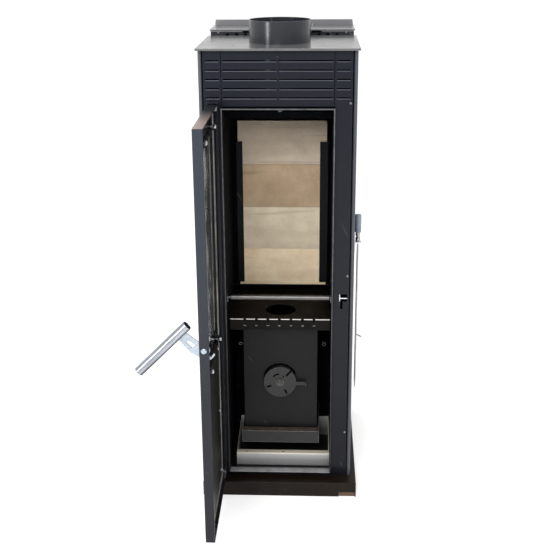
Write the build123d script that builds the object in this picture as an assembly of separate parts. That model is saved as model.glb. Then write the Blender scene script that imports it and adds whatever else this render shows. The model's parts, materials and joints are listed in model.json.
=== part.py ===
from build123d import *
import os
from math import cos, sin, radians, sqrt

os.makedirs("parts", exist_ok=True)

# A tall, slim, free-standing stove with a fuel hopper behind its flue, shown with its door
# open at a right angle. X runs to the right, Y to the back, Z up, in millimetres. The origin
# is on the floor, under the middle of the front face of the casing.

# Casing
BODY_W = 370.0
BODY_D = 452.0
BODY_TOP = 1148.0
TOP_T = 5.0
TOP_OVERHANG = 14.0
TOP_SIDE_OVERHANG = 5.0
TOP_DEPTH = 303.0
SHEET = 2.0
RETURN_W = 9.0
RETURN_BEND = 5.5
REAR_SCREW_IN = 9.0
RETURN_GAP = 2.5

# Plinth
PLINTH_W = BODY_W + 30.0
PLINTH_H = 40.0
PLINTH_T = 3.0
PLINTH_FRONT = 41.0
PLINTH_BACK = 10.0
NOTCH_H = 13.0
NOTCH_L = 42.0

# Firebox: its bare front edge is the lip that the door rope closes on
FIRE_W = BODY_W - 109.0
FIRE_T = 3.0
FIRE_D = 237.0
FLOOR_Z = 55.0
CEILING_Z = BODY_TOP - 140.0
LIP = 10.5

# Flue
FLUE_R = 75.0
FLUE_T = 2.0
FLUE_H = 52.0
FLUE_Y = 150.0

# Grille
GRILLE_BOTTOM = CEILING_Z + 6.0
SLOTS = 5
SLOT_H = 3.2
SLOT_PITCH = 21.2
TOP_SLOT_Z = BODY_TOP - 29.0
RIB_W = 5.0
RIB_PROUD = 1.0

# Firebricks and what holds them
BRICK_W = 230.0
BRICK_H = 114.0
BRICK_T = 30.0
BRICK_X = 2.6
CUT_BRICK_H = 101.0
COURSES = 4
BRICK_Z = 502.0
RETAINER_X = 100.0
RETAINER_Z = 511.0
RETAINER_H = 380.0

# Burner, its box, its air valve and its drawer
BURNER_X = 2.0
BURNER_W = FIRE_W - 10.0
BURNER_Z = 480.0
BURNER_Y = 5.0
FLANGE_H = 29.0
NOTCHES = 7
NOTCH_PITCH = 29.0
FLAME_HOLE_R = 39.0
FLAME_HOLE_Y = 73.5
BOX_W = 189.0
BOX_Y = 33.0
BOX_BACK = 203.0
BOX_BOTTOM = 164.0
VALVE_R = 43.0
VALVE_Z = 298.5
VALVE_PROUD = 9.0
VALVE_BOLT_R = 4.0
VALVE_X = 0.5
DRAWER_W = 201.0
DRAWER_H = 33.0
DRAWER_D = 180.0
DRAWER_Y = 10.0
DRAWER_Z = 130.0

# Ash pan, pushed to the right of the firebox floor as it stands
PAN_W = FIRE_W - 16.0
PAN_X = 7.5
PAN_D = 174.0
PAN_Y = 19.0
PAN_FRONT_H = 37.5
PAN_BACK_H = 59.0
PAN_T = 1.5

# Guard bar
BAR_R = 6.5
BAR_STUB_R = 3.0
BAR_LEFT = -FIRE_W / 2 + 8.5
BAR_RIGHT = FIRE_W / 2 - 3.5
BAR_Y = 12.0
BAR_Z = 536.0

# Fuel chute and hopper
CHUTE_W = 90.0
CHUTE_WALL = 2.0
CHUTE_LIFT = 100.0
CHUTE_OPEN = 80.0
THROAT_Y = 330.0
THROAT_D = 70.0
THROAT_TOP = 558.0
BIN_W = BODY_W - 18.0
BIN_FRONT = TOP_DEPTH + 3.0
BIN_BACK = BODY_D - 6.0
FUNNEL_TOP = 700.0
NECK_TOP = BODY_TOP + 10.7
UPSTAND_TOP = BODY_TOP + 28.0
LID_T = 3.0
LID_W = BODY_W + 5.0
LID_GAP = 0.3
LID_AXIS_Y = BODY_D - 6.0
LID_FRONT = TOP_DEPTH + 5.0

# Door. Its pieces are drawn closed and then swung to a right angle about the hinge.
DOOR_LEFT = -BODY_W / 2 + 29.5
DOOR_W = BODY_W - 54.4
HINGE_X = DOOR_LEFT + 6.0
HINGE_Y = -12.0
DOOR_BOTTOM = PLINTH_H + 4.5
DOOR_TOP = CEILING_Z + 14.0
DOOR_OUT = -25.5
DOOR_IN = -3.0
DOOR_SKIN = 3.0
WINDOW_W = FIRE_W - 51.0
WINDOW_BOTTOM = 485.0
WINDOW_TOP = CEILING_Z - 58.0
GLASS_T = 4.0
GLASS_LAP = 21.5
GLASS_W = WINDOW_W + 24.0
GLASS_BOTTOM = WINDOW_BOTTOM - GLASS_LAP
GLASS_TOP = WINDOW_TOP + GLASS_LAP
GLASS_TAPE = 1.2
CLIP_X = 95.0
ROPE_W = 9.0
PIN_R = 4.0
PIN_CLEAR = 0.05

# Door handle: the lever lies against the inside of the door's free edge
PIVOT_X = HINGE_X - 2.9
PIVOT_Z = 534.0
LEVER_T = 3.0
LEVER_GAP = 0.5
HANDLE_TILT = 45.0
HANDLE_ARM = 66.0
HANDLE_R = 11.0
HANDLE_L = 158.0
HANDLE_ABOVE = 16.5
KEEPER_Y = 4.0
KEEPER_Z = 538.0
KEEPER_R = 2.0

# Poker that hangs on the right side
POKER_X = BODY_W / 2 + 10.0
POKER_Y = 60.0
POKER_REST_Z = 669.0
POKER_FERRULE_L = 24.0
POKER_FERRULE_R = 6.0
POKER_GRIP_L = 46.0
POKER_GRIP_R = 8.0
POKER_ROD_R = 2.5
POKER_L = 400.0
SPUR_Z = 416.0


def block(x0, x1, y0, y1, z0, z1):
    """A box between two opposite corners."""
    box = Box(x1 - x0, y1 - y0, z1 - z0, align=(Align.MIN, Align.MIN, Align.MIN))
    return Pos(x0, y0, z0) * box


def wide(x, width, y0, y1, z0, z1):
    """A box of a given width centred on x."""
    return block(x - width / 2, x + width / 2, y0, y1, z0, z1)


def upright(radius, x, y, z0, z1):
    """A cylinder along Z."""
    return Pos(x, y, (z0 + z1) / 2) * Cylinder(radius, z1 - z0)


def along_x(radius, x0, x1, y, z):
    """A cylinder along X."""
    return Pos((x0 + x1) / 2, y, z) * Rot(0, 90, 0) * Cylinder(radius, x1 - x0)


def along_y(radius, x, y0, y1, z):
    """A cylinder along Y."""
    return Pos(x, (y0 + y1) / 2, z) * Rot(90, 0, 0) * Cylinder(radius, y1 - y0)


def prism_x(points, x0, x1):
    """A (Y, Z) outline carried along X."""
    outline = Polyline(*[(x0, y, z) for y, z in points], close=True)
    return extrude(make_face(outline), amount=x1 - x0, dir=(1, 0, 0))


def prism_y(points, y0, y1):
    """An (X, Z) outline carried along Y."""
    outline = Polyline(*[(x, y0, z) for x, z in points], close=True)
    return extrude(make_face(outline), amount=y1 - y0, dir=(0, 1, 0))


def hex_bolt(across, head, shank_r, length, x, y, z):
    """A hexagon head on a shank that runs to the back from its underside at y."""
    head_solid = extrude(RegularPolygon(across / sqrt(3), 6), amount=head)
    shank = Pos(0, 0, -length / 2) * Cylinder(shank_r, length)
    return Pos(x, y, z) * Rot(90, 0, 0) * (head_solid + shank)


def pan_screw(head_r, head, shank_r, length, x, y, z):
    """A domed screw head on a shank that runs to the back from its underside at y."""
    dome = Pos(0, 0, head / 2) * Cylinder(head_r, head)
    dome = fillet(dome.edges().group_by(Axis.Z)[-1], head * 0.45)
    shank = Pos(0, 0, -length / 2) * Cylinder(shank_r, length)
    return Pos(x, y, z) * Rot(90, 0, 0) * (dome + shank)


def polar(x, z, radius, angle):
    """A point in the XZ plane at an angle from +X towards +Z."""
    return x + radius * cos(radians(angle)), z + radius * sin(radians(angle))


def polar_at(x, z, radius, angle, y0, y1):
    """The X, Y range and Z of a hole along Y that lies at a polar position."""
    px, pz = polar(x, z, radius, angle)
    return px, y0, y1, pz


def arc_band(x, z, inner, outer, start, end, y0, y1):
    """A curved band about an axis along Y, between two radii and two angles."""
    steps = 10
    angles = [start + (end - start) * i / steps for i in range(steps + 1)]
    points = [polar(x, z, outer, a) for a in angles]
    points += [polar(x, z, inner, a) for a in reversed(angles)]
    return prism_y(points, y0, y1)


def door_open(solid):
    """Swing a piece of the closed door to a right angle about its hinge."""
    return Pos(HINGE_X, HINGE_Y, 0) * Rot(0, 0, -90) * Pos(-HINGE_X, -HINGE_Y, 0) * solid


nodes = {}


def add(name, *solids):
    """Keep a node, as one solid or as a group of separate solids."""
    pieces = []
    for solid in solids:
        pieces += list(solid.solids())
    nodes[name] = pieces[0] if len(pieces) == 1 else Compound(children=pieces)


# ---------------------------------------------------------------- plinth and casing
plinth_y0 = -PLINTH_FRONT
plinth_y1 = BODY_D + PLINTH_BACK
half_plinth = PLINTH_W / 2
casing_top = BODY_TOP - TOP_T
side_x = BODY_W / 2


def make_plinth():
    """A folded base with turned-in bottom edges and a cut-out beside each front corner."""
    t = PLINTH_T
    plinth = wide(0, PLINTH_W, plinth_y0, plinth_y1, 0, PLINTH_H)
    plinth = fillet(plinth.faces().sort_by(Axis.Z)[-1].edges(), t)
    plinth -= wide(0, PLINTH_W - 2 * t, plinth_y0 + t, plinth_y1 - t, t, PLINTH_H - t)
    plinth -= wide(0, PLINTH_W * 0.7, plinth_y0 + 90, plinth_y1 - 60, -1, t + 1)
    corner = half_plinth - t
    for side in (-1, 1):
        inner, outer = side * (corner - NOTCH_L), side * corner
        plinth -= block(min(inner, outer), max(inner, outer), plinth_y0 - 1, plinth_y0 + 60, -1, NOTCH_H)
        x0, x1 = sorted((side * (corner - NOTCH_L - 4), side * corner))
        cover = block(x0, x1, plinth_y0 + t, plinth_y0 + 2 * t, 0, NOTCH_H + 8)
        inner_end = cover.edges().filter_by(Axis.Y).sort_by(lambda e: abs(e.center().X))[:2]
        plinth += fillet(inner_end, 6)
    return plinth


def make_side_panel(side):
    """An outer side sheet with a narrow return across the front."""
    x0, x1 = sorted((side * side_x, side * (side_x - SHEET)))
    panel = block(x0, x1, 0, BODY_D, PLINTH_H, casing_top)
    r0, r1 = sorted((side * side_x, side * (side_x - RETURN_W)))
    panel += block(r0, r1, 0, SHEET, PLINTH_H, casing_top)
    uprights = panel.edges().filter_by(Axis.Z)
    corner = uprights.sort_by(lambda e: abs(e.center().X - side * side_x) + abs(e.center().Y))[0]
    panel = fillet(corner, RETURN_BEND)
    inside = (side * (side_x - SHEET), SHEET)
    bend = panel.edges().filter_by(Axis.Z)
    bend = bend.sort_by(lambda e: abs(e.center().X - inside[0]) + abs(e.center().Y - inside[1]))[0]
    return fillet(bend, RETURN_BEND - SHEET)


frame_half = side_x - RETURN_W - RETURN_GAP
fire_half = FIRE_W / 2
lip_half = fire_half + FIRE_T
stile_inner = lip_half + 0.5
grille_gap = 0.5
stile_top_inner = fire_half + 1.5
slot_levels = [TOP_SLOT_Z - i * SLOT_PITCH for i in range(SLOTS)]


def cut_slots(sheet, x0, x1):
    """Cut the grille's row of slots between two X positions and break their lower edges."""
    for z in slot_levels:
        low, high = z - SLOT_H / 2, z + SLOT_H / 2
        bevel = SHEET * 0.8
        slot = [(-1, low - bevel - 1), (bevel, low), (SHEET + 1, low), (SHEET + 1, high), (-1, high)]
        sheet -= prism_x(slot, x0, x1)
    return sheet


def make_front_frame():
    """Two stiles joined by a bottom rail, with the grille's outer slots and the latch slot."""
    frame = wide(0, 2 * frame_half, 0, SHEET, PLINTH_H, casing_top)
    bottom_rail_top = FLOOR_Z - FIRE_T - 1
    frame -= wide(0, 2 * stile_inner, -1, SHEET + 1, bottom_rail_top, GRILLE_BOTTOM - 1)
    frame -= wide(0, 2 * stile_top_inner, -1, SHEET + 1, CEILING_Z, casing_top + 1)
    for side in (-1, 1):
        ends = sorted((side * (stile_top_inner + 4), side * (frame_half - 5)))
        frame = cut_slots(frame, *ends)
    latch_x = door_right_closed - 1
    frame -= wide(latch_x, 20, -1, SHEET + 1, KEEPER_Z - 7, KEEPER_Z + 12)
    hook_path_x = door_right_closed - DOOR_SKIN - LEVER_GAP - LEVER_T / 2
    frame -= wide(hook_path_x, LEVER_T + 3, -1, SHEET + 1, KEEPER_Z - 27, KEEPER_Z)
    for x, z in stile_screw_places:
        frame -= along_y(1.6, x, -1, SHEET + 1, z)
    return frame


door_right_closed = DOOR_LEFT + DOOR_W
stile_screw_x = frame_half - 4.5
stile_screw_places = [(stile_screw_x, z) for z in (168, 598, 1022)]
stile_screw_places += [(-stile_screw_x, z) for z in (168, 598)]


def make_grille():
    """The slotted panel over the door, with folded top and bottom edges and a centre rib."""
    half = stile_top_inner - grille_gap
    panel = wide(0, 2 * half, 0, SHEET, GRILLE_BOTTOM, casing_top)
    panel = chamfer(panel.edges().filter_by(Axis.Z).group_by(Axis.Y)[0], 1.2)
    slot_end = half - 3.5
    panel = cut_slots(panel, -slot_end, -RIB_W / 2)
    panel = cut_slots(panel, RIB_W / 2, slot_end)
    rib_low = slot_levels[-1] - SLOT_H
    rib = wide(0, RIB_W, -RIB_PROUD, 0.5, rib_low, slot_levels[0] + 3 * SLOT_H)
    panel += chamfer(rib.edges().group_by(Axis.Y)[0], RIB_PROUD * 0.7)
    panel += wide(0, 2 * half, SHEET, 17, casing_top - SHEET, casing_top)
    panel += wide(0, 2 * half, SHEET, 17, GRILLE_BOTTOM, GRILLE_BOTTOM + SHEET)
    return panel


def make_top_plate():
    """The top sheet, with the flue opening, staggered vents and four screw recesses."""
    half = side_x + TOP_SIDE_OVERHANG
    plate = wide(0, 2 * half, -TOP_OVERHANG, TOP_DEPTH, casing_top, BODY_TOP)
    plate = fillet(plate.edges().filter_by(Axis.Z), 5)
    plate = fillet(plate.faces().sort_by(Axis.Z)[-1].edges(), 1)
    plate -= upright(FLUE_R - FLUE_T, 0, FLUE_Y, casing_top - 1, BODY_TOP + 1)
    for side in (-1, 1):
        plate -= wide(side * 170, 13, FLUE_Y + 2, FLUE_Y + 8, casing_top - 1, BODY_TOP + 1)
        plate -= upright(4, side * 106, 58, BODY_TOP - 2, BODY_TOP + 1)
        for i in range(3):
            plate -= upright(4.5, side * (95 + 23 * i), TOP_DEPTH - 18, casing_top - 1, BODY_TOP + 1)
        for i in range(2):
            plate -= upright(4.5, side * (106.5 + 23 * i), TOP_DEPTH - 34, casing_top - 1, BODY_TOP + 1)
    return plate


foot_places = [(s * (half_plinth - 24), y) for s in (-1, 1) for y in (plinth_y0 + 24, plinth_y1 - 30)]
foot_r = 14.0
plinth = make_plinth()
feet = []
for x, y in foot_places:
    plinth -= upright(foot_r + 2, x, y, -1, PLINTH_T + 1)
    feet.append(upright(foot_r, x, y, 0, 6) + upright(4, x, y, 6, PLINTH_H - PLINTH_T))
add("plinth", plinth)
add("levelling_feet", *feet)
add("side_panel_left", make_side_panel(-1))
add("side_panel_right", make_side_panel(1))
rear_panel = wide(0, BODY_W - 2 * SHEET, BODY_D - SHEET, BODY_D, PLINTH_H, casing_top)
rear_screw_x = side_x - SHEET - REAR_SCREW_IN
rear_rows = [PLINTH_H + 40 + i * (casing_top - PLINTH_H - 80) / 4 for i in range(5)]
rear_screw_places = [(s * rear_screw_x, z) for s in (-1, 1) for z in rear_rows]
for x, z in rear_screw_places:
    rear_panel -= along_y(1.5, x, BODY_D - SHEET - 1, BODY_D + 1, z)
add("rear_panel", rear_panel)
add("front_frame", make_front_frame())
add("grille_panel", make_grille())
add("top_plate", make_top_plate())

# ---------------------------------------------------------------- flue
flue_bore = FLUE_R - FLUE_T
fire_top = CEILING_Z + FIRE_T
fire_bottom = FLOOR_Z - FIRE_T


def flue_tube(z0, z1):
    return upright(FLUE_R, 0, FLUE_Y, z0, z1) - upright(flue_bore, 0, FLUE_Y, z0 - 1, z1 + 1)


add("flue_collar", flue_tube(BODY_TOP, BODY_TOP + FLUE_H))
add("flue_duct", flue_tube(fire_top, casing_top))

# ---------------------------------------------------------------- firebox
fire_back = FIRE_D + FIRE_T
back_bolt_x = fire_half - 14.5
back_bolt_z = 316.0
hole_gap = 1.0

fire_sides = []
for side in (-1, 1):
    x0, x1 = sorted((side * fire_half, side * lip_half))
    fire_sides.append(block(x0, x1, -LIP, FIRE_D, fire_bottom, fire_top))
add("firebox_sides", *fire_sides)

back = wide(0, 2 * lip_half, FIRE_D, fire_back, fire_bottom, fire_top)
chute_z = FIRE_D + CHUTE_LIFT
back -= wide(BURNER_X, CHUTE_W + 2 * hole_gap, FIRE_D - 1, fire_back + 1,
             chute_z - hole_gap, chute_z + FIRE_T + CHUTE_OPEN + hole_gap)
for side in (-1, 1):
    back -= along_y(4.2, side * back_bolt_x, FIRE_D - 1, fire_back + 1, back_bolt_z)
ledge_front = FIRE_D - BRICK_T - 4
back += wide(0, FIRE_W, ledge_front, FIRE_D, BRICK_Z - FIRE_T, BRICK_Z)
add("firebox_back", back)

ceiling = wide(0, FIRE_W, -LIP, FIRE_D, CEILING_Z, fire_top)
ceiling += arc_band(5, CEILING_Z, 2.8, 4.6, 180, 360, -LIP + 0.5, -2)
add("firebox_ceiling", ceiling - upright(flue_bore, 0, FLUE_Y, CEILING_Z - 1, fire_top + 1))

floor = wide(0, FIRE_W, -LIP, FIRE_D, fire_bottom, FLOOR_Z)
for side in (-1, 1):
    floor += wide(side * 90, 30, 20, FIRE_D - 20, PLINTH_H, fire_bottom)
add("firebox_floor", floor)

baffle_y0, baffle_y1 = 75.0, FIRE_D
baffle_z0, baffle_z1 = CEILING_Z - 34, CEILING_Z - 59
baffle_t = 4.0
baffle_lip = CEILING_Z - 18
baffle_outline = [
    (baffle_y0, baffle_z0),
    (baffle_y1, baffle_z1),
    (baffle_y1, baffle_z1 + baffle_t),
    (baffle_y0 + baffle_t, baffle_z0 + baffle_t),
    (baffle_y0 + baffle_t, baffle_lip),
    (baffle_y0, baffle_lip),
]
add("baffle_plate", prism_x(baffle_outline, -fire_half, fire_half))

# ---------------------------------------------------------------- firebricks
brick_back = FIRE_D - 2
brick_front = brick_back - BRICK_T
brick_bottom = BRICK_Z
for course in range(COURSES):
    height = CUT_BRICK_H if course == 0 else BRICK_H
    brick = wide(BRICK_X, BRICK_W, brick_front, brick_back, brick_bottom, brick_bottom + height)
    add(f"firebrick_{course + 1}", fillet(brick.edges(), 1.0))
    brick_bottom += height

retainer_t = 3.0
retainer_front = brick_front - 2 - retainer_t
retainers = []
for side in (-1, 1):
    beside_brick = BRICK_X + side * (BRICK_W / 2 + 0.5)
    x0, x1 = sorted((side * RETAINER_X, beside_brick + side * retainer_t))
    z0, z1 = RETAINER_Z, RETAINER_Z + RETAINER_H
    angle = block(x0, x1, retainer_front, retainer_front + retainer_t, z0, z1)
    x0, x1 = sorted((beside_brick, beside_brick + side * retainer_t))
    retainers.append(angle + block(x0, x1, retainer_front, FIRE_D, z0, z1))
add("brick_retainers", *retainers)

# ---------------------------------------------------------------- guard bar
bar = along_x(BAR_R, BAR_LEFT, BAR_RIGHT, BAR_Y, BAR_Z)
bar = chamfer(bar.edges(), 1.5)
bar += along_x(BAR_STUB_R, -fire_half + 0.5, fire_half - 0.5, BAR_Y, BAR_Z)
add("guard_bar", bar)
hook_t = fire_half - BAR_RIGHT - 0.5
hooks = []
for side in (-1, 1):
    x0, x1 = sorted((side * fire_half, side * (fire_half - hook_t)))
    hook = block(x0, x1, BAR_Y - 8, BAR_Y + 8, BAR_Z - 10, BAR_Z + 5)
    hook -= block(x0 - 1, x1 + 1, BAR_Y - BAR_STUB_R, BAR_Y + BAR_STUB_R, BAR_Z, BAR_Z + 6)
    hooks.append(hook - along_x(BAR_STUB_R, x0 - 1, x1 + 1, BAR_Y, BAR_Z))
add("guard_bar_hooks", *hooks)

# ---------------------------------------------------------------- burner
burner_t = 3.0
burner_under = BURNER_Z - burner_t
box_half = BOX_W / 2
box_t = 2.0
box_front = BOX_Y + box_t
throat_in_box_z = BOX_BACK + 0.5 + CHUTE_LIFT


def make_burner_top():
    """The plate over the burner box: a flame hole, and a front edge folded down with a comb."""
    plate = wide(BURNER_X, BURNER_W, BURNER_Y, FIRE_D - 2, burner_under, BURNER_Z)
    plate += wide(BURNER_X, BURNER_W, BURNER_Y, BURNER_Y + burner_t, BURNER_Z - FLANGE_H, burner_under)
    fold = plate.edges().filter_by(Axis.X).group_by(Axis.Y)[0].group_by(Axis.Z)[-1]
    plate = fillet(fold, 2)
    plate -= upright(FLAME_HOLE_R, BURNER_X, FLAME_HOLE_Y, burner_under - 1, BURNER_Z + 1)
    for i in range(NOTCHES):
        x = BURNER_X + (i - (NOTCHES - 1) / 2) * NOTCH_PITCH - 1.5
        plate -= wide(x, 7, BURNER_Y - 1, BURNER_Y + 9, burner_under - 1, BURNER_Z + 1)
        plate -= wide(x, 7, BURNER_Y - 1, BURNER_Y + burner_t + 1, BURNER_Z - 15, BURNER_Z)
        plate -= along_y(3.5, x, BURNER_Y - 1, BURNER_Y + burner_t + 1, BURNER_Z - 15)
    return plate


def make_burner_box():
    """The box that hangs under the burner top, open in front, at the top and at the bottom."""
    top = burner_under
    box = wide(BURNER_X, BOX_W - 2, box_front, BOX_BACK, BOX_BOTTOM, top)
    box -= wide(BURNER_X, BOX_W - 2 - 2 * box_t, box_front - 1, BOX_BACK - box_t, BOX_BOTTOM - 1, top + 1)
    mouth_z0 = throat_in_box_z + 2 * CHUTE_WALL
    mouth_z1 = throat_in_box_z + CHUTE_OPEN - 2 * CHUTE_WALL
    mouth_w = CHUTE_W - 4 * CHUTE_WALL
    return box - wide(BURNER_X, mouth_w, BOX_BACK - box_t - 1, BOX_BACK + 1, mouth_z0, mouth_z1)


def valve_windows(y0, y1, grow=0.0):
    """The four curved air windows of the valve, shared by the box front and the disc."""
    windows = []
    for i in range(4):
        middle = 75 + 90 * i
        windows.append(arc_band(VALVE_X, VALVE_Z, 17 - grow, 31 + grow, middle - 24, middle + 24, y0, y1))
    return windows


def make_burner_front():
    """The flat front of the burner box, with four air windows behind the valve."""
    front = wide(BURNER_X, BOX_W, BOX_Y, box_front, BOX_BOTTOM, burner_under - 1)
    for window in valve_windows(BOX_Y - 1, box_front + 1):
        front -= window
    front -= arc_band(VALVE_X, VALVE_Z + 4, VALVE_R - 4, VALVE_R + 1, 20, 165, BOX_Y - 1, box_front + 1)
    return front - along_y(VALVE_BOLT_R, VALVE_X, BOX_Y - 1, box_front + 1, VALVE_Z)


def make_valve():
    """The turning air disc on its hub: a narrow curved window, three radial slots and a lever."""
    y1 = BOX_Y - VALVE_PROUD
    y0 = y1 - 3
    disc = along_y(VALVE_R, VALVE_X, y0, y1, VALVE_Z)
    disc = chamfer(disc.edges().group_by(Axis.Y)[0], 1.2)
    disc -= arc_band(VALVE_X, VALVE_Z, 21, 25, 95, 138, y0 - 1, y1 + 1)
    disc -= along_y(2.2, *polar_at(VALVE_X, VALVE_Z, 18, 60, y0 - 1, y1 + 1))
    for angle, outer in ((48, VALVE_R + 1), (203, 37), (300, 37)):
        slot = block(24, outer, y0 - 1, y1 + 1, -2.5, 2.5)
        disc -= Pos(VALVE_X, 0, VALVE_Z) * Rot(0, -angle, 0) * slot
    disc += along_y(13, VALVE_X, y1, BOX_Y - 0.4, VALVE_Z)
    arm_end = VALVE_X + 68
    disc += block(VALVE_X + 10, arm_end, y0, y1, VALVE_Z - 8, VALVE_Z + 1)
    disc += block(arm_end - 3, arm_end, y0 - 9, y0, VALVE_Z - 8, VALVE_Z + 4)
    return disc - along_y(VALVE_BOLT_R + PIN_CLEAR, VALVE_X, y0 - 1, BOX_Y + 1, VALVE_Z)


def make_valve_bolt():
    """The fixed bolt that the air disc turns on, with its nut inside the box."""
    y_disc = BOX_Y - VALVE_PROUD - 3
    bolt = hex_bolt(13, 5.5, VALVE_BOLT_R, VALVE_PROUD + 16, VALVE_X, y_disc - 0.3, VALVE_Z)
    bolt = fillet(bolt.edges().group_by(Axis.Y)[0], 1.2)
    bolt += along_y(11, VALVE_X, y_disc - 2.3, y_disc - 0.3, VALVE_Z)
    nut = extrude(RegularPolygon(13 / sqrt(3), 6), amount=6.5)
    return bolt + Pos(VALVE_X, box_front + 6.5, VALVE_Z) * Rot(90, 0, 0) * nut


def make_grate():
    """The sloping grate that the fuel slides onto from the chute."""
    y0, y1 = box_front + 8, BOX_BACK - box_t - 0.5
    z0, z1 = 238.0, throat_in_box_z - 4
    t = 4.0
    grate = prism_x([(y0, z0), (y1, z1), (y1, z1 + t), (y0, z0 + t)],
                    BURNER_X - box_half + 1 + box_t, BURNER_X + box_half - 1 - box_t)
    for i in range(9):
        x = BURNER_X + (i - 4) * 18
        grate -= wide(x, 7, y0 + 15, y1 - 20, z0 - 20, z1 + 20)
    return grate


add("burner_top", make_burner_top())
add("burner_box", make_burner_box())
add("burner_front", make_burner_front())
add("burner_grate", make_grate())
add("air_valve", make_valve())
add("air_valve_bolt", make_valve_bolt())
bolts = []
for side in (-1, 1):
    bolt = pan_screw(6.5, 6, 4, 8, side * back_bolt_x, FIRE_D, back_bolt_z)
    bolts.append(bolt - along_y(3.4, side * back_bolt_x, FIRE_D - 7, FIRE_D - 2, back_bolt_z))
add("chute_bolts", *bolts)

rail_t = 3.0
rails = []
for side in (-1, 1):
    x0, x1 = sorted((side * (fire_half - 12), side * fire_half))
    rails.append(block(x0, x1, BAR_Y + 4, FIRE_D, burner_under - rail_t, burner_under))
    x0, x1 = sorted((side * (DRAWER_W / 2 - 20), side * (DRAWER_W / 2 - 5)))
    rails.append(block(x0, x1, DRAWER_Y + 6, FIRE_D, DRAWER_Z - rail_t, DRAWER_Z))
add("firebox_rails", *rails)

# ---------------------------------------------------------------- chute and hopper
chute_half = CHUTE_W / 2
slant = CHUTE_WALL * sqrt(2)
chute_front = BOX_BACK + 0.5
throat_back = THROAT_Y + THROAT_D
chute_outline = [
    (chute_front, chute_front + CHUTE_LIFT),
    (throat_back, throat_back + CHUTE_LIFT),
    (throat_back, THROAT_TOP),
    (THROAT_Y, THROAT_TOP),
    (THROAT_Y, THROAT_Y + CHUTE_LIFT + CHUTE_OPEN),
    (chute_front, chute_front + CHUTE_LIFT + CHUTE_OPEN),
]
bore_y0, bore_y1 = THROAT_Y + CHUTE_WALL, throat_back - CHUTE_WALL
bore_start = chute_front - 5
chute_bore = [
    (bore_start, bore_start + CHUTE_LIFT + slant),
    (bore_y1, bore_y1 + CHUTE_LIFT + slant),
    (bore_y1, THROAT_TOP + 1),
    (bore_y0, THROAT_TOP + 1),
    (bore_y0, bore_y0 + CHUTE_LIFT + CHUTE_OPEN - slant),
    (bore_start, bore_start + CHUTE_LIFT + CHUTE_OPEN - slant),
]
chute = prism_x(chute_outline, BURNER_X - chute_half, BURNER_X + chute_half)
chute -= prism_x(chute_bore, BURNER_X - chute_half + CHUTE_WALL, BURNER_X + chute_half - CHUTE_WALL)
add("fuel_chute", chute)
flange = wide(0, 2 * back_bolt_x + 24, fire_back, fire_back + FIRE_T, back_bolt_z - 16, chute_z + CHUTE_OPEN + 24)
flange -= prism_x(chute_outline, BURNER_X - chute_half, BURNER_X + chute_half)
for side in (-1, 1):
    flange -= along_y(4.2, side * back_bolt_x, fire_back - 1, fire_back + FIRE_T + 1, back_bolt_z)
add("chute_flange", flange)

throat_x0, throat_x1 = BURNER_X - chute_half, BURNER_X + chute_half
bin_half = BIN_W / 2
wall = CHUTE_WALL


def slab(low, high, z0, z1):
    """A flat wall that joins a rectangle (x0, x1, y0, y1) at z0 to another one at z1."""
    ends = []
    for (x0, x1, y0, y1), z in ((low, z0), (high, z1)):
        ends.append(Pos((x0 + x1) / 2, (y0 + y1) / 2, z) * Rectangle(x1 - x0, y1 - y0))
    return loft(ends)


def four_walls(x0, x1, y0, y1):
    """The plans of the front, back, left and right walls of a rectangular duct."""
    return [
        (x0, x1, y0, y0 + wall),
        (x0, x1, y1 - wall, y1),
        (x0, x0 + wall, y0 + wall, y1 - wall),
        (x1 - wall, x1, y0 + wall, y1 - wall),
    ]


throat_plans = four_walls(throat_x0, throat_x1, THROAT_Y, throat_back)
bin_plans = four_walls(-bin_half, bin_half, BIN_FRONT, BIN_BACK)
neck_half = side_x - 0.5
neck_y0, neck_y1 = TOP_DEPTH + 1.5, BODY_D
funnel = [slab(low, high, THROAT_TOP, FUNNEL_TOP) for low, high in zip(throat_plans, bin_plans)]
add("hopper_funnel", *funnel)
add("hopper_bin", *[block(*plan, FUNNEL_TOP, casing_top) for plan in bin_plans])


def make_neck():
    """The raised mouth of the hopper, with finger notches in front and an upstand behind."""
    inner_x = BIN_W / 2 - CHUTE_WALL
    neck = wide(0, 2 * neck_half, neck_y0, neck_y1, casing_top, NECK_TOP)
    neck -= wide(0, 2 * (neck_half - SHEET), neck_y0 + SHEET, neck_y1 - SHEET, casing_top + SHEET, NECK_TOP + 1)
    neck -= wide(0, 2 * inner_x, BIN_FRONT + CHUTE_WALL, BIN_BACK - CHUTE_WALL, casing_top - 1, NECK_TOP + 1)
    for side in (-1, 1):
        neck -= wide(side * 89, 26, neck_y0 - 1, neck_y0 + SHEET + 1, NECK_TOP - 5, NECK_TOP + 1)
        neck -= along_y(1.1, side * 165, neck_y0 - 1, neck_y0 + SHEET + 1, NECK_TOP - 4)
        for i in range(3):
            neck -= along_y(5, side * (95 + 23 * i), neck_y0 - 1, neck_y0 + SHEET + 1, BODY_TOP)
    low_half, top_half = LID_W / 2, side_x
    upstand = [(-low_half, NECK_TOP), (low_half, NECK_TOP), (top_half, UPSTAND_TOP), (-top_half, UPSTAND_TOP)]
    return neck + prism_y(upstand, neck_y1 - SHEET, neck_y1)


add("hopper_neck", make_neck())

lid_z = NECK_TOP + LID_GAP
lid_axis_z = lid_z + LID_T - 1
knuckle_r = 3.5
knuckle_x = 60.0
knuckle_w = 30.0
lid_pin_r = 2.0
lid_back = LID_AXIS_Y - 5


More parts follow.
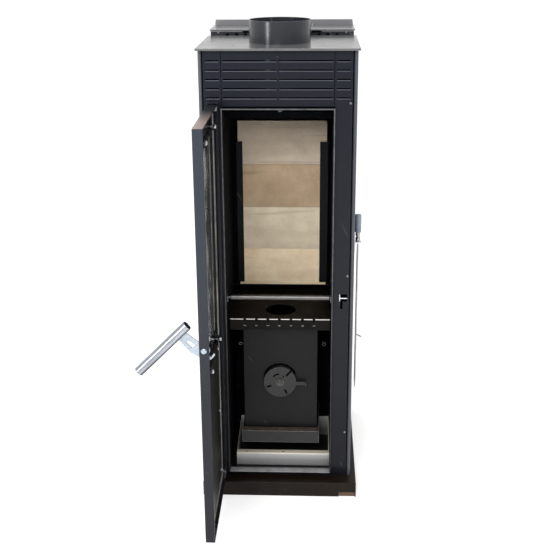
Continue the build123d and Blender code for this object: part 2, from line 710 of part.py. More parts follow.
def make_lid():
    """The hopper lid, with a safe edge and two knuckles along its rear edge."""
    lid = wide(0, LID_W, LID_FRONT, lid_back, lid_z, lid_z + LID_T)
    lid = fillet(lid.edges().filter_by(Axis.Z), 3)
    for side in (-1, 1):
        x = side * knuckle_x
        lid += wide(x, knuckle_w, lid_back - 2, LID_AXIS_Y, lid_z, lid_z + LID_T - 0.5)
        lid += along_x(knuckle_r, x - knuckle_w / 2, x + knuckle_w / 2, LID_AXIS_Y, lid_axis_z)
    for side in (-1, 1):
        x = side * knuckle_x
        reach = knuckle_w / 2 + 1
        lid -= along_x(lid_pin_r + PIN_CLEAR, x - reach, x + reach, LID_AXIS_Y, lid_axis_z)
    return lid


lid_hinges = []
for side in (-1, 1):
    x = side * knuckle_x
    reach = knuckle_w / 2 + 1
    ears = along_x(lid_pin_r, x - reach - 3, x + reach + 3, LID_AXIS_Y, lid_axis_z)
    for end in (-1, 1):
        ear_x = x + end * (reach + 1.5)
        ears += wide(ear_x, 3, LID_AXIS_Y - 3, BODY_D - SHEET, lid_axis_z - 3.5, lid_axis_z + 3.5)
    lid_hinges.append(ears)
add("hopper_lid", make_lid())
add("lid_hinge_pins", *lid_hinges)

# ---------------------------------------------------------------- drawers
drawer_t = 2.0


def make_drawer():
    """The ember drawer under the burner box, with a closed front strip and a pull hole."""
    y0, y1 = DRAWER_Y, DRAWER_Y + DRAWER_D
    z1 = DRAWER_Z + DRAWER_H
    strip = BOX_Y - DRAWER_Y - 1
    drawer = wide(BURNER_X, DRAWER_W, y0, y1, DRAWER_Z, z1)
    inner_w = DRAWER_W - 2 * drawer_t
    drawer -= wide(BURNER_X, inner_w, y0 + drawer_t, y1 - drawer_t, DRAWER_Z + drawer_t, z1 - drawer_t)
    drawer -= wide(BURNER_X, inner_w, y0 + strip, y1 - drawer_t, DRAWER_Z + drawer_t, z1 + 1)
    return drawer - upright(3.5, BURNER_X, y0 + strip / 2, z1 - drawer_t - 1, z1 + 1)


def make_pan():
    """The ash pan: low in front with a flat rim, and sides that rise to a taller back."""
    y0, y1 = PAN_Y, PAN_Y + PAN_D
    rim = 18.0
    z0, zf, zb = FLOOR_Z, FLOOR_Z + PAN_FRONT_H, FLOOR_Z + PAN_BACK_H
    t = PAN_T
    half = PAN_W / 2
    x0, x1 = PAN_X - half, PAN_X + half
    outer = [(y0, z0), (y1, z0), (y1, zb), (y0 + rim, zf), (y0, zf)]
    pan = prism_x(outer, x0, x1)
    front_edges = pan.edges().filter_by(Axis.X).group_by(Axis.Y)[0]
    pan = fillet(front_edges, 3)
    pan -= prism_x([(y0 + t, z0 + t), (y1 - t, z0 + t), (y1 - t, zf - t), (y0 + t, zf - t)], x0 + t, x1 - t)
    pan -= prism_x([(y0 + rim, z0 + t), (y1 - t, z0 + t), (y1 - t, zb + 5), (y0 + rim, zb + 5)], x0 + t, x1 - t)
    for x in (-88.0, 8.0):
        pan -= upright(3, x, y0 + rim / 2, zf - t - 1, zf + 1)
    return pan


add("ember_drawer", make_drawer())
add("ash_pan", make_pan())

# ---------------------------------------------------------------- screws on the casing
screws = [pan_screw(2.8, 1.8, 1.5, 8, x, 0, z) for x, z in stile_screw_places]
rear_screw = Rot(0, 0, 180) * pan_screw(4, 2.4, 1.5, SHEET + 2, 0, 0, 0)
screws += [Pos(x, BODY_D, z) * rear_screw for x, z in rear_screw_places]
screws += [pan_screw(2.4, 1.5, 1.0, 8, s * 165, neck_y0, NECK_TOP - 4) for s in (-1, 1)]
add("casing_screws", *screws)

# ---------------------------------------------------------------- door
cavity_left = DOOR_LEFT + DOOR_SKIN
cavity_right = door_right_closed - DOOR_SKIN
skin_in = DOOR_OUT + DOOR_SKIN
lever_slot_low, lever_slot_high = PIVOT_Z - 27, PIVOT_Z + 31


def closed_y(x_rest):
    """The Y that a point of the open door has when the door is closed."""
    return HINGE_Y + (x_rest - HINGE_X)


def rest_y(x_closed):
    """The Y that a point of the closed door has when the door stands open."""
    return HINGE_Y - (x_closed - HINGE_X)


lever_far = cavity_right - LEVER_GAP
lever_near = lever_far - LEVER_T


def make_leaf():
    """The door's folded tray, with its window, its hinge holes and the lever's slot."""
    leaf = block(DOOR_LEFT, door_right_closed, DOOR_OUT, DOOR_IN, DOOR_BOTTOM, DOOR_TOP)
    leaf = fillet(leaf.edges().filter_by(Axis.Z).group_by(Axis.Y)[0], 1.5)
    leaf -= block(cavity_left, cavity_right, skin_in, DOOR_IN + 1,
                  DOOR_BOTTOM + DOOR_SKIN, DOOR_TOP - DOOR_SKIN)
    window = wide(0, WINDOW_W, DOOR_OUT - 1, skin_in + 1, WINDOW_BOTTOM, WINDOW_TOP)
    leaf -= fillet(window.edges().filter_by(Axis.Y), 12)
    leaf -= upright(PIN_R + PIN_CLEAR, HINGE_X, HINGE_Y, DOOR_BOTTOM - 1, DOOR_TOP + 1)
    leaf -= block(lever_near - 0.5, lever_far + 0.4, DOOR_OUT - 1, skin_in + 1,
                  lever_slot_low, lever_slot_high)
    return leaf - along_x(PIN_R, cavity_right - 1, door_right_closed + 1, closed_y(PIVOT_X), PIVOT_Z)


block_h = 12.0
hinge_blocks = []
for z0 in (DOOR_BOTTOM + DOOR_SKIN, DOOR_TOP - DOOR_SKIN - block_h):
    piece = block(cavity_left, HINGE_X + 8, skin_in, DOOR_IN - 1, z0, z0 + block_h)
    piece -= upright(PIN_R + PIN_CLEAR, HINGE_X, HINGE_Y, z0 - 1, z0 + block_h + 1)
    hinge_blocks.append(door_open(piece))
add("door_leaf", door_open(make_leaf()))
add("hinge_blocks", *hinge_blocks)

pin_reach = DOOR_SKIN + block_h - 1
lower_pin = upright(PIN_R, HINGE_X, HINGE_Y, PLINTH_H, DOOR_BOTTOM + pin_reach)
lower_pin += upright(7, HINGE_X, HINGE_Y, PLINTH_H, DOOR_BOTTOM - 0.2)
tab_z = DOOR_TOP + 2
upper_pin = upright(PIN_R, HINGE_X, HINGE_Y, DOOR_TOP - pin_reach, tab_z + 1)
upper_pin += block(HINGE_X - 12, HINGE_X + 12, HINGE_Y - 9, 0, tab_z, tab_z + 4)
add("lower_hinge_pin", lower_pin)
add("upper_hinge_pin", upper_pin)

# The rope and its channel run round the door where the firebox lip meets it.
lip_mid = fire_half + FIRE_T / 2
rope_low, rope_high = fire_bottom + FIRE_T / 2, CEILING_Z + FIRE_T / 2
channel_t = 0.8


def ring(half, low, high, y0, y1, width, radius):
    """A rounded rectangular ring, centred on the lip, of a given width."""
    outer = wide(0, 2 * (half + width / 2), y0, y1, low - width / 2, high + width / 2)
    outer = fillet(outer.edges().filter_by(Axis.Y), radius + width / 2)
    inner = wide(0, 2 * (half - width / 2), y0 - 1, y1 + 1, low + width / 2, high - width / 2)
    return outer - fillet(inner.edges().filter_by(Axis.Y), radius - width / 2)


rope_radius = 12.0
rope_front = -LIP - 0.5
channel = ring(lip_mid, rope_low, rope_high, skin_in, rope_front - 3, ROPE_W + 2 * channel_t + 0.4, rope_radius)
channel -= ring(lip_mid, rope_low, rope_high, skin_in + channel_t, rope_front, ROPE_W + 0.4, rope_radius)
rope = ring(lip_mid, rope_low, rope_high, skin_in + channel_t, rope_front, ROPE_W, rope_radius)
rope = fillet(rope.faces().sort_by(Axis.Y)[-1].edges(), ROPE_W * 0.42)
add("rope_channel", door_open(channel))
add("door_rope", door_open(rope))

glass_out = skin_in + GLASS_TAPE
glass_in = glass_out + GLASS_T
glass = wide(0, GLASS_W, glass_out, glass_in, GLASS_BOTTOM, GLASS_TOP)
glass = chamfer(glass.edges().filter_by(Axis.Y), 6)
tape = wide(0, GLASS_W - 2, skin_in, glass_out, GLASS_BOTTOM + 1, GLASS_TOP - 1)
tape -= wide(0, WINDOW_W + 4, skin_in - 1, glass_out + 1, WINDOW_BOTTOM - 6, WINDOW_TOP + 6)
add("door_glass", door_open(glass))
add("glass_tape", door_open(tape))

clip_t = 2.0
clip_flat = DOOR_IN - 3 - clip_t
screw_gap = 8.5


def make_clip(x, edge, outward):
    """A folded glass clip; outward is 1 above the glass and -1 below it."""
    def z(offset):
        return edge + outward * offset
    outline = [
        (glass_in, z(-12)), (glass_in + clip_t, z(-12)), (glass_in + clip_t, z(1)),
        (clip_flat + clip_t, z(1)), (clip_flat + clip_t, z(16)), (clip_flat, z(16)),
        (clip_flat, z(3)), (glass_in, z(3)),
    ]
    clip = prism_x(outline, x - 8, x + 8)
    return clip - along_y(2.7, x, clip_flat - 1, clip_flat + clip_t + 1, z(screw_gap))


def inner_screw(x, z, underside, head, head_r):
    """A screw driven into the door's skin from inside, with its head towards the room."""
    screw = pan_screw(head_r, head, 2.5, underside - skin_in, 0, 0, 0)
    return Pos(x, underside, z) * Rot(0, 0, 180) * screw


clips = []
door_screws = []
for x in (-CLIP_X, CLIP_X):
    for edge, outward in ((GLASS_TOP, 1), (GLASS_BOTTOM, -1)):
        clips.append(door_open(make_clip(x, edge, outward)))
        z = edge + outward * screw_gap
        door_screws.append(door_open(inner_screw(x, z, clip_flat + clip_t, 5, 5)))
add("glass_clips", *clips)

# The solid lower part of the door is lined with board behind a sheet.
liner_half = GLASS_W / 2 + 1
liner_low, liner_high = 72.0, 440.0
liner_back = -12.0
edge = 1.5
board = wide(0, 2 * (liner_half - edge), skin_in, liner_back - SHEET, liner_low + edge, liner_high - edge)
liner = wide(0, 2 * liner_half, skin_in, liner_back, liner_low, liner_high) - board
for x in (-liner_half + 14, liner_half - 14):
    for z in (liner_low + 14, (liner_low + liner_high) / 2, liner_high - 14):
        liner -= along_y(2.7, x, liner_back - SHEET - 1, liner_back + 1, z)
        board -= along_y(2.7, x, skin_in - 1, liner_back, z)
        door_screws.append(door_open(inner_screw(x, z, liner_back, 2.5, 4.5)))
add("door_liner", door_open(liner))
add("door_board", door_open(board))
add("door_screws", *door_screws)

# ---------------------------------------------------------------- latch
lever_y0, lever_y1 = rest_y(lever_far), rest_y(lever_near)
arm_angle = 90 + HANDLE_TILT
tube_angle = arm_angle + 90


def on_lever(out, down):
    """A point of the lever, out along its arm and down along its tube."""
    ax, az = cos(radians(arm_angle)), sin(radians(arm_angle))
    tx, tz = cos(radians(tube_angle)), sin(radians(tube_angle))
    return PIVOT_X + out * ax + down * tx, PIVOT_Z + out * az + down * tz


keeper_dy = KEEPER_Y - closed_y(PIVOT_X)
keeper_dz = KEEPER_Z - PIVOT_Z
keeper_reach = sqrt(keeper_dy ** 2 + keeper_dz ** 2)
hook_slot = KEEPER_R + 0.5
hook_wall = 4.0


def make_lever():
    """The flat lever: an arm to the tube, a window, and a hook that closes on the keeper."""
    arm = prism_y([on_lever(HANDLE_ARM, -1), on_lever(HANDLE_ARM, 21), on_lever(15, 24.5),
                   on_lever(-5, 19), on_lever(-11, 4), on_lever(0, -11), on_lever(19, -6.5)],
                  lever_y0, lever_y1)
    window = prism_y([on_lever(43, 14), on_lever(36, 6), on_lever(21, 5.5), on_lever(22, 15)],
                     lever_y0 - 1, lever_y1 + 1)
    hub_r = keeper_reach - hook_slot
    lever = arm + along_y(hub_r * 0.8, PIVOT_X, lever_y0, lever_y1, PIVOT_Z) - window
    tail, lead = -88.0, -20.0
    outer = keeper_reach + hook_slot + hook_wall
    lever += arc_band(PIVOT_X, PIVOT_Z, 0.5, outer, tail, lead - 28, lever_y0, lever_y1)
    lever += arc_band(PIVOT_X, PIVOT_Z, keeper_reach + hook_slot, outer, lead - 28, lead, lever_y0, lever_y1)
    return lever - along_y(PIN_R + PIN_CLEAR, PIVOT_X, lever_y0 - 1, lever_y1 + 1, PIVOT_Z)


def make_handle_tube():
    """The brushed tube that is gripped, slit where the lever enters it."""
    start = on_lever(HANDLE_ARM, -HANDLE_ABOVE)
    middle_y = (lever_y0 + lever_y1) / 2
    tube = Cylinder(HANDLE_R, HANDLE_L) - Cylinder(HANDLE_R - 1.5, HANDLE_L + 2)
    tube = chamfer(tube.edges().group_by(Axis.Z)[0] + tube.edges().group_by(Axis.Z)[-1], 0.4)
    centre = HANDLE_L / 2
    turn = 90 - tube_angle
    axis_x, axis_z = cos(radians(tube_angle)), sin(radians(tube_angle))
    place = Pos(start[0] + centre * axis_x, middle_y, start[1] + centre * axis_z)
    tube = place * Rot(0, turn, 0) * tube
    slit = prism_y([on_lever(HANDLE_ARM - HANDLE_R - 1, -4), on_lever(HANDLE_ARM - HANDLE_R - 1, 23),
                    on_lever(HANDLE_ARM + 0.2, 23), on_lever(HANDLE_ARM + 0.2, -4)],
                   lever_y0 - 0.1, lever_y1 + 0.1)
    return tube - slit


edge_y = rest_y(door_right_closed)
handle_bolt = along_y(6.5, PIVOT_X, edge_y - 4, edge_y, PIVOT_Z)
handle_bolt = fillet(handle_bolt.edges().group_by(Axis.Y)[0], 1.8)
handle_bolt += along_y(PIN_R, PIVOT_X, edge_y, lever_y1 + 7, PIVOT_Z)
handle_bolt += along_y(7, PIVOT_X, lever_y1 + 0.5, lever_y1 + 6, PIVOT_Z)
add("handle_bolt", handle_bolt)
add("handle_lever", make_lever())
add("handle_tube", make_handle_tube())

latch_x = door_right_closed - 1
keeper = along_x(KEEPER_R, latch_x - 13, latch_x + 13, KEEPER_Y, KEEPER_Z)
for side in (-1, 1):
    keeper += wide(latch_x + side * 12, 2, SHEET, KEEPER_Y + 6, KEEPER_Z - 10, KEEPER_Z + 10)
keeper_strip = wide(latch_x - 8.7, 2, -1.5, SHEET, KEEPER_Z - 6, KEEPER_Z + 12)
keeper_strip += block(latch_x - 13, latch_x - 7.7, SHEET, SHEET + 1.5, KEEPER_Z + 4, KEEPER_Z + 10)
add("latch_keeper", keeper + keeper_strip)

# ---------------------------------------------------------------- poker and its holder
holder_t = 3.0
holder = block(side_x, side_x + holder_t, POKER_Y - 12, POKER_Y + 12, POKER_REST_Z - 24, POKER_REST_Z)
holder += block(side_x, POKER_X + 9, POKER_Y - 9, POKER_Y + 9, POKER_REST_Z - holder_t, POKER_REST_Z)
holder -= upright(POKER_ROD_R + 1, POKER_X, POKER_Y, POKER_REST_Z - holder_t - 1, POKER_REST_Z + 1)
holder -= block(POKER_X, POKER_X + 12, POKER_Y - POKER_ROD_R - 1, POKER_Y + POKER_ROD_R + 1,
                POKER_REST_Z - holder_t - 1, POKER_REST_Z + 1)
add("poker_holder", holder)

ferrule_top = POKER_REST_Z + POKER_FERRULE_L
grip_top = ferrule_top + POKER_GRIP_L
grip = upright(POKER_GRIP_R, POKER_X, POKER_Y, ferrule_top, grip_top)
grip = fillet(grip.edges(), 2)
grip -= upright(POKER_ROD_R, POKER_X, POKER_Y, ferrule_top - 1, ferrule_top + 30)
add("poker_grip", grip)
rod_low = POKER_REST_Z - POKER_L
tip_l = 25.0
rod = upright(POKER_ROD_R, POKER_X, POKER_Y, rod_low + tip_l, ferrule_top + 30)
rod += Pos(POKER_X, POKER_Y, rod_low + tip_l / 2) * Rot(180, 0, 0) * Cone(POKER_ROD_R, 1.0, tip_l)
ferrule = upright(POKER_FERRULE_R, POKER_X, POKER_Y, POKER_REST_Z, ferrule_top)
ferrule = chamfer(ferrule.edges().group_by(Axis.Z)[0], 2)
waist_z = POKER_REST_Z + 13
ferrule -= Pos(POKER_X, POKER_Y, waist_z) * Torus(POKER_FERRULE_R + 1, 2.6)
rod += ferrule
rod += Pos(POKER_X + 7, POKER_Y, SPUR_Z) * Rot(0, 120, 0) * Cylinder(2, 17)
add("poker_rod", rod)

for name, shape in nodes.items():
    export_step(shape, f"parts/{name}.step")
print(len(nodes), "nodes")
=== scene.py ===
import bpy, json, math, random
from mathutils import Vector, Matrix


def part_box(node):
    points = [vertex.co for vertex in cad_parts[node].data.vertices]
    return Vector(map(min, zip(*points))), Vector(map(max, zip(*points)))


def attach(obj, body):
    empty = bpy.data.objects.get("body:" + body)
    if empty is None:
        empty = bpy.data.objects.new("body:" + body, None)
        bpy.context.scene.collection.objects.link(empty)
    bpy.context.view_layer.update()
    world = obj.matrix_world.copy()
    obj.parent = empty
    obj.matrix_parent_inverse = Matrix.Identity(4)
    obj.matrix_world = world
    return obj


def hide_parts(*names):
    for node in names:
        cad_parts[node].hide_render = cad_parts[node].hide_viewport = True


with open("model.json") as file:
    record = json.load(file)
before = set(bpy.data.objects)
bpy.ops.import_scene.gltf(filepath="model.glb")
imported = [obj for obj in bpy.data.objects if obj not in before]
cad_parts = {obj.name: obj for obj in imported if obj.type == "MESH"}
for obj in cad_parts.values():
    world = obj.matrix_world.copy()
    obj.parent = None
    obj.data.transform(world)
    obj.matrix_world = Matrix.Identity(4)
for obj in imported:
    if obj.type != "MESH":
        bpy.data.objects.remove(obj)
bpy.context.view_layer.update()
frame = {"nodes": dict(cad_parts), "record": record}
scene = bpy.context.scene
random.seed(7)
X, Y, Z = range(3)

# Places that the rubbed, tinted and painted-light patches are measured from
LIP_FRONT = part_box("firebox_sides")[0][Y]
SIDE_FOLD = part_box("side_panel_right")[0][X]
GRILLE_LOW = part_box("grille_panel")[0][Z]
DOOR_FREE_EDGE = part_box("door_leaf")[0][Y]
DOOR_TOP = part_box("door_leaf")[1][Z]
LID_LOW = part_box("hopper_lid")[0][Z]
PLINTH_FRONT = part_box("plinth")[0][Y]
BURNER_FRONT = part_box("burner_top")[0][Y]
BOLT_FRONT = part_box("chute_bolts")[0][Y]
PAN_FRONT, PAN_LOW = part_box("ash_pan")[0][Y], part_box("ash_pan")[0][Z]


# ------------------------------------------------------------------ camera
PITCH, YAW, ROLL = math.radians(19.136), math.radians(2.453), math.radians(-0.385)
CAMERA_AT = Vector((0.0879, -2.2732, 1.3889))
SENSOR_W, LENS = 36, 63.90


def make_camera():
    data = bpy.data.cameras.new("camera")
    cam = bpy.data.objects.new("camera", data)
    scene.collection.objects.link(cam)
    data.sensor_width = SENSOR_W
    data.lens = LENS
    data.clip_start, data.clip_end = 0.05, 50
    ahead = Vector((-math.sin(YAW) * math.cos(PITCH), math.cos(YAW) * math.cos(PITCH), -math.sin(PITCH)))
    right = ahead.cross(Vector((0, 0, 1))).normalized()
    up = right.cross(ahead)
    rolled_right = right * math.cos(ROLL) + up * math.sin(ROLL)
    rolled_up = up * math.cos(ROLL) - right * math.sin(ROLL)
    turn = Matrix((rolled_right, rolled_up, -ahead)).transposed().to_4x4()
    cam.matrix_world = Matrix.Translation(CAMERA_AT) @ turn
    scene.camera = cam


make_camera()


# ------------------------------------------------------------------ material building blocks
class Shader:
    """Adds nodes to one material and links them. A mask is a value from 0 to 1."""

    def __init__(self, name):
        self.mat = bpy.data.materials.new(name)
        self.mat.use_nodes = True
        self.tree = self.mat.node_tree
        self.bsdf = self.tree.nodes["Principled BSDF"]
        self.coord = self.add("ShaderNodeTexCoord").outputs["Object"]
        self.geo = self.add("ShaderNodeNewGeometry")

    def add(self, kind, **inputs):
        node = self.tree.nodes.new(kind)
        for key, value in inputs.items():
            self.put(node.inputs[key.replace("_", " ")], value)
        return node

    def put(self, socket, value):
        if isinstance(value, bpy.types.NodeSocket):
            self.tree.links.new(value, socket)
        else:
            socket.default_value = value

    def mapped(self, stretch=(1, 1, 1), turn=(0, 0, 0), shift=(0, 0, 0)):
        """The object's own coordinates, turned and shifted, then stretched."""
        turned = self.add("ShaderNodeMapping", Vector=self.coord, Rotation=turn, Location=shift)
        return self.add("ShaderNodeMapping", Vector=turned.outputs[0], Scale=stretch).outputs[0]

    def noise(self, scale, detail=4.0, rough=0.55, **place):
        where = self.mapped(**place) if place else self.coord
        node = self.add("ShaderNodeTexNoise", Vector=where, Scale=scale, Detail=detail, Roughness=rough)
        return node.outputs["Fac"]

    def cells(self, scale, **place):
        where = self.mapped(**place) if place else self.coord
        return self.add("ShaderNodeTexVoronoi", Vector=where, Scale=scale).outputs["Distance"]

    def spread(self, value, low, high, out_low=0.0, out_high=1.0):
        """Clamped, from out_low where the value is low, to out_high where it is high."""
        node = self.add("ShaderNodeMapRange", Value=value)
        for slot, number in zip(range(1, 5), (low, high, out_low, out_high)):
            self.put(node.inputs[slot], number)
        return node.outputs[0]

    def math(self, how, a, b=0.0):
        node = self.add("ShaderNodeMath")
        node.operation = how
        self.put(node.inputs[0], a)
        self.put(node.inputs[1], b)
        return node.outputs[0]

    def mix(self, factor, a, b):
        node = self.add("ShaderNodeMix")
        node.data_type = "RGBA"
        self.put(node.inputs[0], factor)
        for index, value in ((6, a), (7, b)):
            is_plain = not isinstance(value, bpy.types.NodeSocket)
            self.put(node.inputs[index], (*value, 1.0) if is_plain else value)
        return node.outputs[2]

    def edges(self, radius=0.0012):
        """1 on sharp edges, 0 on open faces; and the rounded normal."""
        bevel = self.add("ShaderNodeBevel", Radius=radius)
        dot = self.add("ShaderNodeVectorMath")
        dot.operation = "DOT_PRODUCT"
        self.put(dot.inputs[0], bevel.outputs[0])
        self.put(dot.inputs[1], self.geo.outputs["True Normal"])
        return self.spread(dot.outputs["Value"], 0.995, 0.8), bevel.outputs[0]

    def part(self, vector, axis):
        parts = self.add("ShaderNodeSeparateXYZ", Vector=vector)
        return parts.outputs[axis]

    def past(self, axis, start, full):
        """0 to 1 as the place on the object goes from start to full along one axis."""
        return self.spread(self.part(self.coord, axis), start, full)

    def facing(self, axis, start, full):
        """0 to 1 as the surface turns along one axis."""
        return self.spread(self.part(self.geo.outputs["Normal"], axis), start, full)

    def both(self, *masks):
        """The product of the masks."""
        result = masks[0]
        for mask in masks[1:]:
            result = self.math("MULTIPLY", result, mask)
        return result

    def layers(self, color, rough, extra):
        """Lays each (mask, colour, roughness) of extra over what is there."""
        for mask, tint, new_rough in (extra(self) if extra else ()):
            color = self.mix(mask, color, tint)
            kept = self.both(rough, self.math("SUBTRACT", 1.0, mask))
            rough = self.math("ADD", kept, self.both(mask, new_rough))
        return color, rough

    def bump(self, height, strength, distance, normal=None):
        node = self.add("ShaderNodeBump", Strength=strength, Distance=distance, Height=height)
        if normal is not None:
            self.put(node.inputs["Normal"], normal)
        return node.outputs[0]

    def finish(self, color, rough, normal, metal=0.0, specular=0.5):
        self.put(self.bsdf.inputs["Base Color"], color)
        self.put(self.bsdf.inputs["Roughness"], rough)
        self.put(self.bsdf.inputs["Normal"], normal)
        self.bsdf.inputs["Metallic"].default_value = metal
        self.bsdf.inputs["Specular IOR Level"].default_value = specular
        return self.mat


def scaled(color, factor, lift=0.0):
    return tuple(min(1, factor * c + lift) for c in color)


def paint(name, low, high, rough, specular=0.5, edge=(0.16, 0.16, 0.17), edge_amount=0.35,
          dust=(0.3, 0.29, 0.27), dust_amount=0.05, peel=0.10, scratch=0.25, extra=None):
    """Satin stove paint: cloudy colour, fine peel, faint scratches, pale edges that are partly rubbed
    paint and partly a painted highlight, and some dust.
    """
    s = Shader(name)
    cloud = s.spread(s.noise(9, 6), 0.35, 0.68)
    fine = s.noise(420, 3)
    color = s.mix(cloud, low, high)
    color = s.mix(s.spread(fine, 0.62, 0.75, 0.0, 0.35), color, scaled(high, 1.7, 0.01))
    lines = s.noise(60, 2, 0.5, stretch=(1, 1, 0.04), turn=(0.2, 0.5, 0))
    marks = s.spread(lines, 0.70, 0.78, 0.0, scratch)
    color = s.mix(marks, color, edge)
    rim, rounded = s.edges()
    # Pale edges: partly rubbed paint, partly a painted highlight along every sharp edge
    rubbed_and_highlit_rim = s.both(rim, s.spread(s.noise(35, 4), 0.35, 0.7, 0.25 * edge_amount, edge_amount))
    color = s.mix(rubbed_and_highlit_rim, color, edge)
    dusty = s.spread(s.noise(26, 6), 0.4, 0.75, 0.2 * dust_amount, dust_amount)
    color = s.mix(s.both(s.facing(Z, 0.6, 1.0), dusty), color, dust)
    uneven = s.math("ADD", s.both(cloud, 0.6), s.both(fine, 0.4))
    color, roughness = s.layers(color, s.spread(uneven, 0.1, 0.9, *rough), extra)
    return s.finish(color, roughness, s.bump(fine, peel, 0.0004, rounded), specular=specular)


def bare_lips(s):
    """The firebox's front edges are bare metal where the door's rope presses."""
    patchy = s.spread(s.noise(70, 4), 0.3, 0.7, 0.55, 1.0)
    front = s.both(s.past(Y, LIP_FRONT + 0.0023, LIP_FRONT + 0.0017), s.facing(Y, -0.5, -0.8), patchy)
    brighter_up = s.spread(s.part(s.coord, Z), 0.3, 0.7, 0.35, 1.0)
    return [(s.both(front, brighter_up), (0.13, 0.13, 0.135), 0.4)]


# Painted sheen: black paint turns to this lighter, cooler black between these heights, standing in for the
# light that falls on the upper casing and door
PAINTED_SHEEN_BLACK = (0.0075, 0.009, 0.015)
SHEEN_HEIGHTS = (0.15, 1.1)


def painted_sheen_and_folds(s):
    """Painted light on the casing: it turns lighter and cooler towards its top as a painted sheen, its
    folds are paler, and the grille's bevels get a painted highlight.
    """
    outward = s.spread(s.math("ABSOLUTE", s.part(s.coord, X)), SIDE_FOLD + 0.0005, SIDE_FOLD + 0.0035)
    folded = s.both(outward, s.past(Y, 0.008, 0.002))
    in_grille = s.past(Z, GRILLE_LOW - 0.014, GRILLE_LOW - 0.004)
    # Painted highlight on the grille's bevels that face up and forward
    bevel = s.both(s.facing(Z, 0.3, 0.5), s.facing(Y, -0.3, -0.5), in_grille)
    return [
        # Painted sheen towards the top
        (s.past(Z, *SHEEN_HEIGHTS), PAINTED_SHEEN_BLACK, 0.30),
        (s.both(folded, 0.75), (0.085, 0.09, 0.10), 0.34),
        (s.both(bevel, 0.8), (0.10, 0.11, 0.13), 0.3),
    ]


def door_painted_light(s):
    """Painted light on the open door: it turns lighter and cooler upwards as a painted sheen, its free
    edge gets a cool painted highlight that grows paler upwards, and its top edge a warm painted highlight.
    """
    at_edge = s.past(Y, DOOR_FREE_EDGE + 0.0036, DOOR_FREE_EDGE - 0.0024)
    edge = s.both(s.facing(Y, -0.6, -0.9), at_edge, s.past(Z, 0.35, 1.0))
    at_top = s.past(Z, DOOR_TOP - 0.022, DOOR_TOP - 0.012)
    top = s.both(s.facing(Z, 0.6, 0.9), at_top, s.past(Y, -0.10, -0.25))
    return [
        (s.past(Z, *SHEEN_HEIGHTS), PAINTED_SHEEN_BLACK, 0.30),
        # Painted highlights: cool on the free edge, warm on the top edge
        (edge, (0.034, 0.041, 0.055), 0.28),
        (s.both(top, 0.8), (0.34, 0.26, 0.23), 0.35),
    ]


def pale_upstand(s):
    """The strip that stands up behind the lid is a paler grey than the neck under it."""
    return [(s.past(Z, LID_LOW - 0.001, LID_LOW), (0.17, 0.172, 0.178), 0.3)]


def pale_sill(s):
    """The chamber floor's front strip is a patchy pale satin."""
    strip = s.past(Y, LIP_FRONT + 0.0225, LIP_FRONT + 0.0145)
    patchy = s.spread(s.noise(40, 5), 0.25, 0.6, 0.5, 1.0)
    return [(s.both(strip, patchy), (0.30, 0.30, 0.31), 0.42)]


def notch_plates(s):
    """The plates behind the plinth's cut-outs are a paler brown."""
    behind_sheet = s.past(Y, PLINTH_FRONT + 0.0018, PLINTH_FRONT + 0.0025)
    plates = s.both(behind_sheet, s.past(Y, 0.0, -0.03), s.facing(Y, -0.4, -0.7))
    return [(plates, (0.11, 0.07, 0.05), 0.4)]


def soot_and_fold_highlight(s):
    """The burner top is sooty and spattered, and has a painted highlight along its folded front edge
    between the notches, partly rubbed bare metal.
    """
    fold_highlight = s.both(s.facing(Z, 0.2, 0.45), s.past(Y, BURNER_FRONT + 0.0030, BURNER_FRONT + 0.0022))
    flat = s.facing(Z, 0.6, 0.9)
    spots = s.both(s.spread(s.noise(900, 2), 0.66, 0.7, 0.0, 0.6), s.facing(Z, 0.5, 0.8))
    return [
        (s.both(flat, 0.8), (0.0012, 0.0010, 0.0008), 0.6),
        (spots, (0.16, 0.13, 0.10), 0.3),
        # Painted highlight along the folded front edge
        (fold_highlight, (0.8, 0.78, 0.74), 0.35),
    ]


def painted_socket_shade(s):
    """Painted shade: the bolts' sockets are painted black inside."""
    inside = s.both(s.past(Y, BOLT_FRONT + 0.0030, BOLT_FRONT + 0.0035), s.facing(Y, -0.5, -0.8))
    return [(inside, (0.004, 0.004, 0.004), 0.8)]


def ledge_dust_and_highlight(s):
    """Ash and rust lie on the drawer's ledge, and its edges get a painted highlight that makes its front
    edge bright.
    """
    top = s.both(s.facing(Z, 0.6, 0.9), s.spread(s.noise(55, 5), 0.3, 0.65, 0.3, 0.9))
    # Painted highlight on the ledge's edges
    rim, _ = s.edges(0.0016)
    return [(top, (0.085, 0.065, 0.05), 0.6), (s.both(rim, 0.8), (0.42, 0.41, 0.40), 0.4)]


